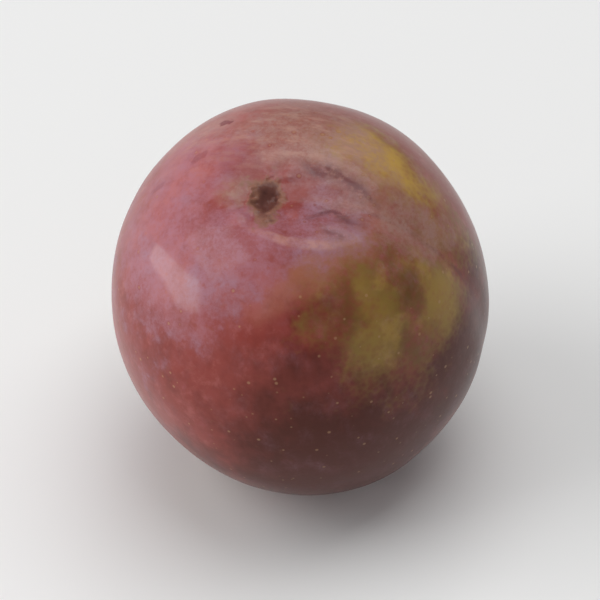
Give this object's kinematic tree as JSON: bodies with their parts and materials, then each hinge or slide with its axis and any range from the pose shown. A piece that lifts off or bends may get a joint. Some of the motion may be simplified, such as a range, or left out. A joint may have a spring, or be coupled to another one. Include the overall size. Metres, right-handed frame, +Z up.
{
  "type": "plum",
  "caption": "Whole ripe plum without its stalk, slightly taller than wide, with a shallow stem cavity and a suture down one side, resting on a small flat spot.",
  "frame": {"origin": "middle of the small flat spot the fruit rests on, under its blossom end", "axes": "+Z up, so the fruit stands on the XY plane; the viewer of the picture stands towards -Y; the suture is on the +X side and the core leans towards -X and -Y by about 16 degrees"},
  "size_m": [0.0466, 0.0465, 0.0514],
  "materials": {
    "plum_skin": "smooth thin skin, satin where the bloom is rubbed off and matt where the dusty mauve bloom lies"
  },
  "bodies": {
    "root": {"plum": "plum_skin"}
  },
  "joints": []
}
